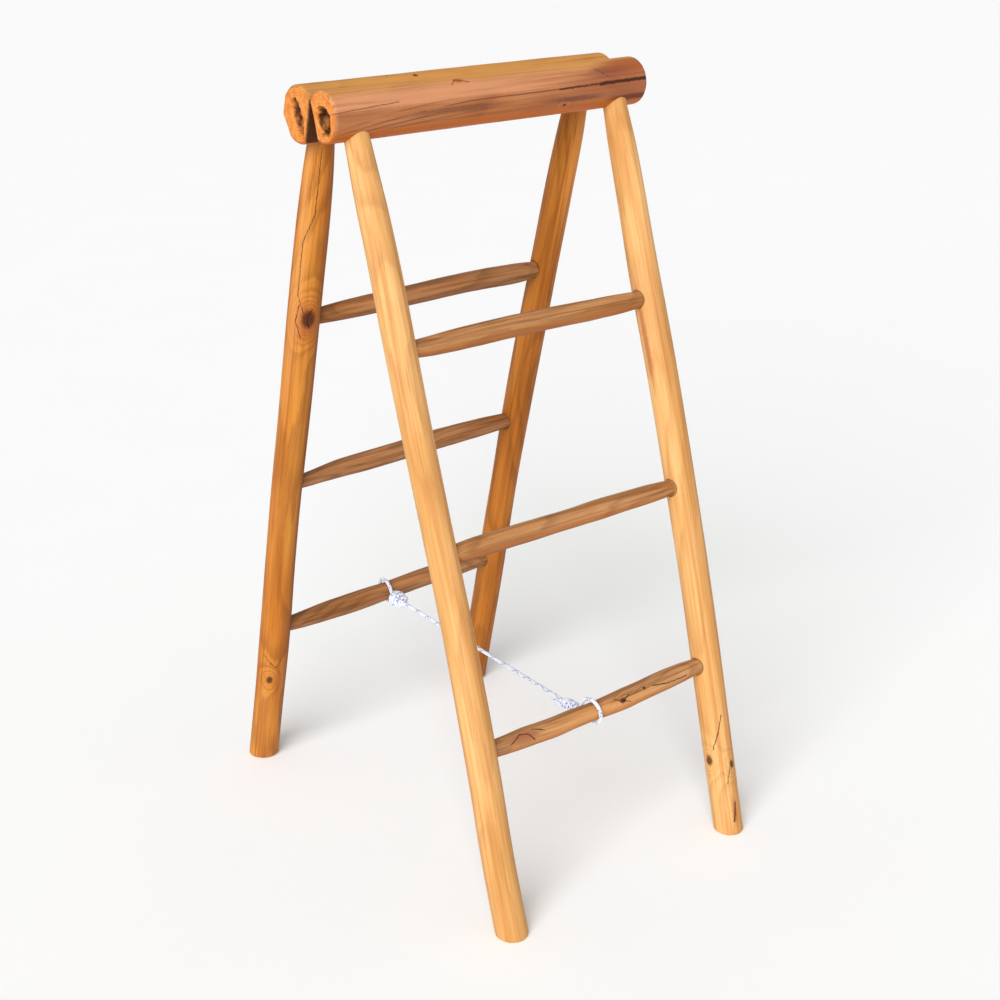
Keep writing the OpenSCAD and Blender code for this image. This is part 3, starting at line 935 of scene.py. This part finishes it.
def wood(name, look, seed, radius, knots=(), cracks=(), stains_and_shading=(), seats=(), sweep=0.0):
    """Oiled teak. Places on it are (metres along, degrees round).
    knots: (place, size, rings); cracks: (width, strength, places); stains: (place, (half across, half
    along), colour, strength), marks in the wood on some pieces and painted light and painted shade on
    others; seats: (place, radius) of the rungs let into a leg, each ringed with dark painted shade for
    the gap where the rung goes in; sweep: how far thin dark lines sweep up round the piece from its
    left end, in metres."""
    g = Graph(name)
    grain = g.attribute("grain")
    gx, gy, _ = g.separate(grain)
    # The cut attribute holds the sawn ends, the painted shade of the hollows and the painted shade of the
    # flat faces in the gap between the logs
    cut, hollow_shade, gap_shade = g.separate(g.attribute("cut"))
    wrap = g.node("UVMap", uv_map="wrap").outputs[0]
    turn, length, _ = g.separate(wrap)
    flat = g.combine(g.times(turn, radius), length, 0.0)
    shift = Vector((seed * 3.7, seed * 1.9, seed * 5.3))

    def grain_noise(across, lengthwise, detail=3.0, rough=0.55, more=0.0):
        stretched = g.vector("MULTIPLY", grain, (across, across, lengthwise))
        moved = g.vector("ADD", stretched, tuple(shift + Vector((more, more, more))))
        return g.noise(moved, 1.0, detail, rough)

    # A slow wander of the pith turns the growth rings into long tongues along the surface
    drift = g.vector("SUBTRACT", grain_noise(2.0, 3.2, 1.0, 0.4).outputs["Color"], (0.5, 0.5, 0.5))
    drift = g.vector("MULTIPLY", drift, (look["drift"] * 3, look["drift"] * 3, 0.0))
    across = g.vector("ADD", g.combine(gx, gy, 0.0), drift)
    rings = g.math("DIVIDE", g.vector("LENGTH", across), look["ring"])
    waver = grain_noise(60, 8, 3.0, 0.6, 11.0).outputs["Fac"]
    rings = g.madd(waver, 0.9, rings)

    knot_mask = None
    wander = g.vector("SUBTRACT", g.noise(flat, 160.0, 2.0).outputs["Color"], (0.5, 0.5, 0.5))
    wandered = g.vector("ADD", flat, g.vector("MULTIPLY", wander, (0.0035, 0.006, 0.0)))
    for (at, degrees), size, halo in knots:
        spot = (math.radians(degrees) * radius, at, 0.0)
        away = g.vector("SUBTRACT", wandered, spot)
        d = g.vector("LENGTH", g.vector("MULTIPLY", away, (1 / size, 1 / (1.45 * size), 0.0)))
        pull = g.math("EXPONENT", g.times(g.math("POWER", d, 1.3), -0.55))
        rings = g.madd(pull, halo, rings)
        core = g.step(1.05, 0.45, d)
        knot_mask = core if knot_mask is None else g.math("MAXIMUM", knot_mask, core)

    wave = g.math("FRACT", rings)
    late = g.times(g.step(0.30, 0.85, wave), g.step(1.0, 0.82, wave))
    fine = grain_noise(420, 6, 3.0, 0.6, 3.0).outputs["Fac"]
    streak = grain_noise(150, 2.6, 3.0, 0.55, 7.0).outputs["Fac"]
    patch = grain_noise(24, 3.5, 2.0, 0.5, 5.0).outputs["Fac"]
    pores = g.step(0.64, 0.74, grain_noise(1100, 45, 1.0, 0.5, 13.0).outputs["Fac"])

    tint = grain_noise(110, 3.0, 2.0, 0.5, 17.0).outputs["Fac"]
    colour = g.mix(g.step(0.28, 0.72, patch), look["mid"], look["light"])
    colour = g.mix(g.times(g.step(0.50, 0.72, tint), 0.45), colour, look["light"])
    colour = g.mix(g.times(g.step(0.46, 0.28, tint), 0.30), colour, PINK_TINT)
    colour = g.mix(g.times(g.step(0.44, 0.76, streak), look["streak_share"]), colour, look["dark"])
    colour = g.mix(g.times(g.step(0.40, 0.78, fine), look["fibre_share"]), colour, look["dark"])
    colour = g.mix(g.times(late, look["line_share"]), colour, look["line"])
    colour = g.mix(g.times(pores, 0.22), colour, look["line"])
    if sweep:
        climb = g.math("EXPONENT", g.times(length, -8.0))
        level = g.madd(climb, sweep, g.times(turn, radius))
        level = g.madd(g.math("SUBTRACT", patch, 0.5), 0.010, level)
        waves = g.math("FRACT", g.math("DIVIDE", level, 0.0075))
        sharp = g.times(g.step(0.55, 0.92, waves), g.step(1.0, 0.95, waves))
        band = g.step(0.022, 0.004, g.math("ABSOLUTE", g.math("ADD", level, 0.005)))
        zone = g.times(band, g.step(0.42, 0.58, tint))
        colour = g.mix(g.times(g.times(sharp, zone), 0.75), colour, look["line"])
    # Patches of colour: marks of the wood, and on some pieces painted light and painted shade
    for (at, degrees), (half_across, half_along), patch_colour, strength in stains_and_shading:
        spot = (math.radians(degrees) * radius, at, 0.0)
        away = g.vector("SUBTRACT", wandered, spot)
        d = g.vector("LENGTH", g.vector("MULTIPLY", away, (1 / half_across, 1 / half_along, 0.0)))
        d = g.madd(g.math("SUBTRACT", streak, 0.5), 1.6, d)
        d = g.madd(g.math("SUBTRACT", fine, 0.5), 0.8, d)
        colour = g.mix(g.times(g.step(1.25, 0.35, d), strength), colour, patch_colour)
    if knot_mask is not None:
        colour = g.mix(g.times(knot_mask, 0.88), colour, KNOT_DARK)

    # Sawn ends show the rings themselves; the hollows get painted shade, darker with depth, and the flat
    # faces of the hinge joint get painted shade near to black for the gap between the logs
    speckle = g.noise(grain, 420.0, 3.0, 0.6).outputs["Fac"]
    blotch = g.noise(grain, 95.0, 3.0, 0.6).outputs["Fac"]
    end_rings = g.math("DIVIDE", g.vector("LENGTH", across), SAWN_RING)
    end_rings = g.math("FRACT", g.madd(blotch, 1.6, end_rings))
    end = g.mix(g.step(0.30, 0.66, blotch), END_LIGHT, END_MID)
    end = g.mix(g.times(g.step(0.45, 0.95, end_rings), 0.45), end, END_DARK)
    end = g.mix(g.times(g.step(0.5, 0.8, speckle), 0.35), end, END_DARK)
    colour = g.mix(cut, colour, end)
    # Painted shade in the hollows of the log end
    inside = g.mix(g.step(0.40, 0.62, blotch), HOLLOW_SHADE_DEEP, HOLLOW_SHADE_PALE)
    colour = g.mix(hollow_shade, colour, inside)
    # Painted shade: the flat faces in the gap between the logs go near-black
    colour = g.mix(g.times(gap_shade, 0.93), colour, GAP_SHADE_DARK)

    crack_and_seat_shade = None
    # Painted shade: a thin dark ring round each rung's seat, for the gap where the rung goes into the leg
    for (at, degrees), seat_r in seats:
        spot = (math.radians(degrees) * radius, at, 0.0)
        d = g.vector("DISTANCE", flat, spot)
        inner = g.step(seat_r - 0.001, seat_r + 0.0004, d)
        outer = g.step(seat_r + 0.0030, seat_r + 0.0008, d)
        line = g.times(g.times(inner, outer), 0.8)
        crack_and_seat_shade = line if crack_and_seat_shade is None else g.math("MAXIMUM", crack_and_seat_shade, line)
    for width, strength, places in cracks:
        for (at_a, deg_a), (at_b, deg_b) in zip(places, places[1:]):
            a = Vector((math.radians(deg_a) * radius, at_a, 0.0))
            b = Vector((math.radians(deg_b) * radius, at_b, 0.0))
            ab = b - a
            rel = g.vector("SUBTRACT", wandered, tuple(a))
            share = g.math("DIVIDE", g.vector("DOT_PRODUCT", rel, tuple(ab)), ab.length_squared, clamp=True)
            off = g.vector("SUBTRACT", rel, g.vector("MULTIPLY", g.combine(share, share, 0.0), tuple(ab)))
            line = g.times(g.step(width, width * 0.35, g.vector("LENGTH", off)), strength)
            crack_and_seat_shade = line if crack_and_seat_shade is None else g.math("MAXIMUM", crack_and_seat_shade, line)
    if crack_and_seat_shade is not None:
        colour = g.mix(g.times(crack_and_seat_shade, 0.88), colour, CRACK_AND_SEAT_SHADE_DARK)

    height = g.times(fine, 0.5)
    height = g.madd(streak, 0.4, height)
    height = g.madd(late, -0.12, height)
    height = g.madd(pores, -0.3, height)
    height = g.madd(g.times(cut, speckle), 1.0, height)
    if crack_and_seat_shade is not None:
        height = g.madd(crack_and_seat_shade, -2.2, height)
    if knot_mask is not None:
        height = g.madd(knot_mask, -0.7, height)
    bump = g.node("Bump", {"Height": height, "Strength": 0.36, "Distance": 0.0009})
    rough = g.madd(fine, 0.20, 0.44)
    shader = g.node("BsdfPrincipled", {
        "Base Color": colour, "Roughness": rough, "Normal": bump.outputs[0],
        "Specular IOR Level": 0.16,
    })
    return g.finish(shader)


def steel(name, base, rough, brushed):
    """Satin zinc-plated steel with fine brushing and a few dull spots."""
    g = Graph(name)
    at = g.node("TexCoord").outputs["Object"]
    lines = g.noise(g.vector("MULTIPLY", at, brushed), 1.0, 3.0, 0.6).outputs["Fac"]
    dull = g.noise(at, 90.0, 3.0, 0.6).outputs["Fac"]
    worn = tuple(c * 0.72 for c in base[:3]) + (1.0,)
    colour = g.mix(g.step(0.42, 0.70, dull), base, worn)
    roughness = g.madd(lines, 0.25, g.madd(dull, 0.12, rough))
    bump = g.node("Bump", {"Height": lines, "Strength": 0.18, "Distance": 0.0002})
    shader = g.node("BsdfPrincipled", {
        "Base Color": colour, "Metallic": 1.0, "Roughness": roughness, "Normal": bump.outputs[0],
    })
    return g.finish(shader)


def braid():
    """White plaited cord with dark blue and violet marker threads, a soft fuzz and painted shade in the
    grooves of the plait.
    """
    g = Graph("cord_braid")
    theta, s, _ = g.separate(g.attribute("braid"))
    plus = g.madd(theta, PLAIT_RIDGES, g.times(s, PLAIT_WIND))
    minus = g.madd(theta, PLAIT_RIDGES, g.times(s, -PLAIT_WIND))
    plait = g.times(g.math("SINE", plus), g.math("SINE", minus))
    # A marker thread shows as a fleck each time it comes to the top of the plait
    first = g.math("SINE", g.math("ADD", theta, g.times(s, 220.0)))
    second = g.math("SINE", g.math("ADD", theta, g.times(s, -190.0)))
    lift = g.step(0.02, 0.35, plait)
    fleck_a = g.times(g.step(0.80, 0.90, first), lift)
    fleck_b = g.times(g.step(0.84, 0.93, second), lift)
    round_x, round_y = (g.times(g.math(kind, theta), 3.0) for kind in ("SINE", "COSINE"))
    at = g.combine(round_x, round_y, g.times(s, 260.0))
    fuzz = g.noise(at, 3.0, 3.0, 0.6).outputs["Fac"]
    white_and_groove_shade = g.mix(g.step(0.3, 0.75, fuzz), srgb(206, 214, 234), srgb(234, 238, 248))
    # Painted shade: bluish grey in the grooves between the strands of the plait
    white_and_groove_shade = g.mix(g.times(g.step(0.1, -0.6, plait), 0.35), white_and_groove_shade, srgb(160, 170, 202))
    colour = g.mix(fleck_a, white_and_groove_shade, srgb(22, 26, 66))
    colour = g.mix(fleck_b, colour, srgb(84, 36, 122))
    height = g.madd(plait, 0.7, g.times(fuzz, 0.5))
    bump = g.node("Bump", {"Height": height, "Strength": 0.5, "Distance": 0.0004})
    shader = g.node("BsdfPrincipled", {
        "Base Color": colour, "Roughness": 0.78, "Normal": bump.outputs[0],
        "Sheen Weight": 0.25, "Sheen Roughness": 0.5, "Specular IOR Level": 0.25,
    })
    return g.finish(shader)


make_cord(braid())

# ---------------- the wooden pieces

# Radii at which the marks are laid out on a leg and a rung, and of a rung's seat in a leg
LEG_SKIN, RUNG_SKIN, RUNG_SEAT = 0.025, 0.016, 0.0128
RUNG_LEVELS = {half: [[pair[k] for pair in RUNG_ENDS[half]] for k in (0, 1)] for half in RUNG_ENDS}


def rung_seats(half, side):
    """Places of a leg's three rungs: on its right side for a left leg, and the reverse."""
    k = 0 if side < 0 else 1
    return [((s, 90 if side < 0 else -90), RUNG_SEAT) for s in RUNG_LEVELS[half][k]]


RED_BROWN = srgb(150, 66, 40)
PURPLE_BROWN = srgb(92, 52, 44)
PINK_WOOD = srgb(206, 144, 106)
# Painted shade for the log undersides (orange) and painted light for the log tops (ochre)
UNDERSIDE_SHADE_ORANGE = srgb(188, 98, 26)
TOP_LIGHT_OCHRE = srgb(204, 144, 70)

# Marks as wood() takes them; every knot also swells the leg a little
LEG_MARKS = {
    "front_left": {
        "seed": 3, "knots": [], "cracks": [],
        "stains_and_shading": [],
    },
    "front_right": {
        "seed": 8,
        "knots": [((1.108, -84), 0.008, 6), ((1.12, 9), 0.006, 8)],
        "cracks": [
            (0.0012, 1.0, [(1.035, -12), (1.065, -35), (1.09, -62)]),
            (0.0010, 1.0, [(1.125, -4), (1.15, -22)]),
            (0.0022, 1.0, [(1.185, 2), (1.215, -14)]),
        ],
        "stains_and_shading": [
            ((0.42, -84), (0.006, 0.09), RED_BROWN, 0.65),
            ((1.20, -5), (0.006, 0.03), RED_BROWN, 0.6),
        ],
    },
    "rear_left": {
        "seed": 5,
        "knots": [((0.346, -17), 0.0135, 9), ((1.046, -39), 0.0070, 5)],
        "cracks": [
            (0.0010, 0.85, [(0.078, -28), (0.179, -29), (0.224, -62), (0.308, -60), (0.335, -36)]),
            (0.0010, 1.0, [(0.995, -70), (1.02, -17), (0.985, 18)]),
            (0.0009, 1.0, [(0.325, -52), (0.352, -60), (0.378, -38)]),
            (0.0012, 1.0, [(0.330, -8), (0.345, -22), (0.362, -12)]),
        ],
        "stains_and_shading": [
            ((0.35, -25), (0.022, 0.035), RED_BROWN, 0.55),
            # Painted shade: a dark orange stripe down the right side of the leg, the side away from the
            # light
            ((0.6, 62), (0.020, 0.7), srgb(124, 58, 8), 0.8),
            ((0.25, -70), (0.012, 0.30), srgb(214, 150, 84), 0.5),
        ],
    },
    "rear_right": {
        "seed": 12, "knots": [], "cracks": [],
        # Painted light: a lighter patch at the top of the leg, where the front log's shadow falls
        "stains_and_shading": [((0.10, 30), (0.030, 0.20), srgb(214, 140, 64), 0.8)],
    },
}
LEG_LOOKS = {
    "front_left": FRONT_LEG_LOOK, "front_right": FRONT_LEG_LOOK,
    "rear_left": REAR_LEFT_LOOK, "rear_right": REAR_RIGHT_LOOK,
}
for half in ("front", "rear"):
    for side, word in ((-1, "left"), (1, "right")):
        marks = LEG_MARKS[f"{half}_{word}"]
        swells = [(at, size * 1.3, size * 0.12) for at, size, _ in marks["knots"]]
        leg = make_leg(half, side, marks["seed"], swells)
        leg.data.materials.append(wood(
            f"{half}_{word}_leg_teak", LEG_LOOKS[f"{half}_{word}"], marks["seed"], LEG_SKIN,
            marks["knots"], marks["cracks"], marks["stains_and_shading"], rung_seats(half, side),
        ))

# The long patch on each rung at -50 to -60 degrees round runs along its underside: painted shade, darker
# and more orange below
RUNG_MARKS = {
    "front_upper": {
        "seed": 21, "knots": [], "cracks": [],
        "stains_and_shading": [((0.24, -50), (0.012, 0.3), srgb(168, 96, 36), 0.6)],
    },
    "front_middle": {
        "seed": 22, "knots": [], "cracks": [],
        "stains_and_shading": [((0.24, -50), (0.012, 0.3), srgb(164, 92, 34), 0.6)],
    },
    "front_lower": {
        "seed": 23,
        "knots": [((0.276, 13), 0.005, 1.5), ((0.322, 30), 0.003, 1)],
        "cracks": [
            (0.0012, 1.0, [(0.060, 8), (0.078, 44), (0.092, 30), (0.102, -14)]),
            (0.0011, 1.0, [(0.104, 50), (0.122, 22)]),
            (0.0012, 1.0, [(0.34, 20), (0.37, -2), (0.41, -8)]),
            (0.0010, 1.0, [(0.262, 34), (0.276, 12), (0.290, -8)]),
            (0.0010, 1.0, [(0.276, 12), (0.292, 30)]),
        ],
        "stains_and_shading": [
            ((0.22, 0), (0.016, 0.13), srgb(206, 148, 92), 0.7),
            ((0.085, 20), (0.012, 0.03), srgb(150, 90, 62), 0.7),
            ((0.24, -55), (0.012, 0.3), srgb(176, 104, 40), 0.6),
        ],
    },
    "rear_upper": {
        "seed": 24, "knots": [], "cracks": [],
        "stains_and_shading": [
            ((0.2, -60), (0.012, 0.3), srgb(120, 58, 14), 0.6),
            # Painted light: a lighter patch on the upper side of the rear upper rung
            ((0.18, 30), (0.010, 0.12), srgb(194, 138, 92), 0.6),
        ],
    },
    "rear_middle": {
        "seed": 25, "knots": [], "cracks": [],
        "stains_and_shading": [((0.2, -60), (0.012, 0.3), srgb(132, 70, 24), 0.6)],
    },
    "rear_lower": {
        "seed": 26, "knots": [], "cracks": [],
        "stains_and_shading": [((0.2, -60), (0.012, 0.3), srgb(132, 76, 34), 0.5)],
    },
}
for half, rung_look in (("front", FRONT_RUNG_LOOK), ("rear", REAR_RUNG_LOOK)):
    for level, word in enumerate(("upper", "middle", "lower")):
        marks = RUNG_MARKS[f"{half}_{word}"]
        swells = [(at, size * 1.5, size * 0.16) for at, size, _ in marks["knots"]]
        rung = make_rung(half, level, marks["seed"], swells)
        rung.data.materials.append(wood(
            f"{half}_{word}_rung_teak", rung_look, marks["seed"], RUNG_SKIN, marks["knots"],
            marks["cracks"], marks["stains_and_shading"],
        ))

LOG_MARKS = {
    "front": {
        "seed": 31, "sweep": 0.034,
        "hollows": [
            ((0.003, -0.005), (0.0165, 0.0205), 12, 0.013), ((0.004, -0.006), (0.0045, 0.010), -24, -0.008),
            ((-0.007, -0.0235), (0.0030, 0.0055), 40, 0.004),
        ],
        "knots": [((0.403, -47), 0.0030, 3)],
        "cracks": [
            (0.0009, 0.7, [(0.0, -1), (0.105, 9)]),
            (0.0016, 0.9, [(0.39, -7), (0.485, -4)]),
            (0.0036, 1.0, [(0.47, -5), (0.57, -3)]),
            (0.0012, 0.7, [(0.204, 36), (0.214, 50), (0.234, 38)]),
            (0.0010, 0.6, [(0.468, 36), (0.488, 10)]),
        ],
        "stains_and_shading": [
            # Painted light: an ochre strip along the top; painted shade: orange along the underside
            ((0.26, 82), (0.028, 0.62), TOP_LIGHT_OCHRE, 0.85),
            ((0.30, -80), (0.024, 0.7), UNDERSIDE_SHADE_ORANGE, 0.9),
            ((0.16, 20), (0.016, 0.30), PINK_WOOD, 0.7),
            ((0.20, -22), (0.005, 0.10), PURPLE_BROWN, 0.55),
            ((0.219, 46), (0.005, 0.010), srgb(168, 84, 34), 0.9),
            ((0.43, -33), (0.005, 0.06), PURPLE_BROWN, 0.75),
            ((0.50, 26), (0.009, 0.045), PURPLE_BROWN, 0.6),
            ((0.54, -46), (0.008, 0.05), srgb(96, 34, 12), 0.9),
            ((0.50, -8), (0.022, 0.13), srgb(142, 78, 54), 0.6),
            ((0.54, 40), (0.016, 0.06), srgb(150, 76, 40), 0.8),
        ],
    },
    "rear": {
        "seed": 37, "sweep": 0.0,
        "hollows": [((0.0, -0.003), (0.0115, 0.029), 35, 0.008)],
        "knots": [((0.190, 84), 0.004, 4)],
        "cracks": [(0.0011, 0.55, [(0.145, 92), (0.150, 104), (0.175, 110), (0.205, 104)])],
        "stains_and_shading": [
            # Painted light: an ochre strip along the top; painted shade: orange along the underside
            ((0.28, 95), (0.03, 0.5), TOP_LIGHT_OCHRE, 0.7),
            ((0.28, -60), (0.03, 0.5), UNDERSIDE_SHADE_ORANGE, 0.6),
        ],
    },
}
for half, log_look in (("front", FRONT_LOG_LOOK), ("rear", REAR_LOG_LOOK)):
    marks = LOG_MARKS[half]
    log = make_log(half, marks["seed"], marks["hollows"])
    log.data.materials.clear()
    log.data.materials.append(wood(
        f"{half}_log_teak", log_look, marks["seed"], LOG_RADIUS[half], marks["knots"],
        marks["cracks"], marks["stains_and_shading"], sweep=marks["sweep"],
    ))

# ---------------- hinges

ALONG_X = (60.0, 1400.0, 1400.0)
LEAF_STEEL = steel("hinge_steel", srgb(206, 203, 194), 0.30, ALONG_X)
PIN_STEEL = steel("pin_steel", srgb(214, 213, 208), 0.22, (1400.0, 60.0, 60.0))
SCREW_STEEL = steel("screw_steel", srgb(214, 206, 178), 0.26, (700.0, 700.0, 700.0))
for name, node in frame["nodes"].items():
    finish_of = {"leaf": LEAF_STEEL, "pin": PIN_STEEL, "screws": SCREW_STEEL}.get(name.rsplit("_", 1)[-1])
    if finish_of is not None:
        node.data.materials.clear()
        node.data.materials.append(finish_of)

# ---------------- floor and light


def make_floor():
    g = Graph("studio_floor")
    at = g.node("TexCoord").outputs["Object"]
    tone = g.noise(at, 3.0, 3.0, 0.5).outputs["Fac"]
    colour = g.mix(tone, srgb(246, 249, 252), srgb(249, 251, 254))
    shader = g.node("BsdfPrincipled", {"Base Color": colour, "Roughness": 0.9, "Specular IOR Level": 0.1})
    bpy.ops.mesh.primitive_plane_add(size=40, location=(0, 0, 0))
    floor = bpy.context.object
    floor.name = "studio_floor"
    floor.data.materials.append(g.finish(shader))


def sun(name, azimuth, elevation, strength, spread, colour=(1, 1, 1)):
    """A soft sun; the azimuth turns from the front of the rack towards its left."""
    data = bpy.data.lights.new(name, "SUN")
    data.energy = strength
    data.angle = math.radians(spread)
    data.color = colour
    lamp = bpy.data.objects.new(name, data)
    bpy.context.scene.collection.objects.link(lamp)
    az, el = math.radians(azimuth), math.radians(elevation)
    back = Vector((-math.sin(az) * math.cos(el), -math.cos(az) * math.cos(el), math.sin(el)))
    lamp.rotation_euler = back.to_track_quat("Z", "Y").to_euler()


def make_world():
    """A plain pale room, brighter along the horizon than overhead."""
    world = bpy.data.worlds.new("studio")
    world.use_nodes = True
    tree = world.node_tree
    background = tree.nodes["Background"]
    background.inputs["Color"].default_value = (1, 0.965, 0.91, 1)
    at = tree.nodes.new("ShaderNodeTexCoord")
    split = tree.nodes.new("ShaderNodeSeparateXYZ")
    fade = tree.nodes.new("ShaderNodeMapRange")
    fade.interpolation_type = "SMOOTHSTEP"
    for socket, value in (("From Min", 0.04), ("From Max", 0.30), ("To Min", 0.95), ("To Max", 0.46)):
        fade.inputs[socket].default_value = value
    tree.links.new(at.outputs["Generated"], split.inputs[0])
    tree.links.new(split.outputs["Z"], fade.inputs["Value"])
    tree.links.new(fade.outputs[0], background.inputs["Strength"])
    bpy.context.scene.world = world


make_floor()
sun("key", azimuth=56, elevation=31, strength=3.35, spread=45, colour=(1.0, 1.0, 0.99))
make_world()
bpy.context.scene.view_settings.view_transform = "Standard"
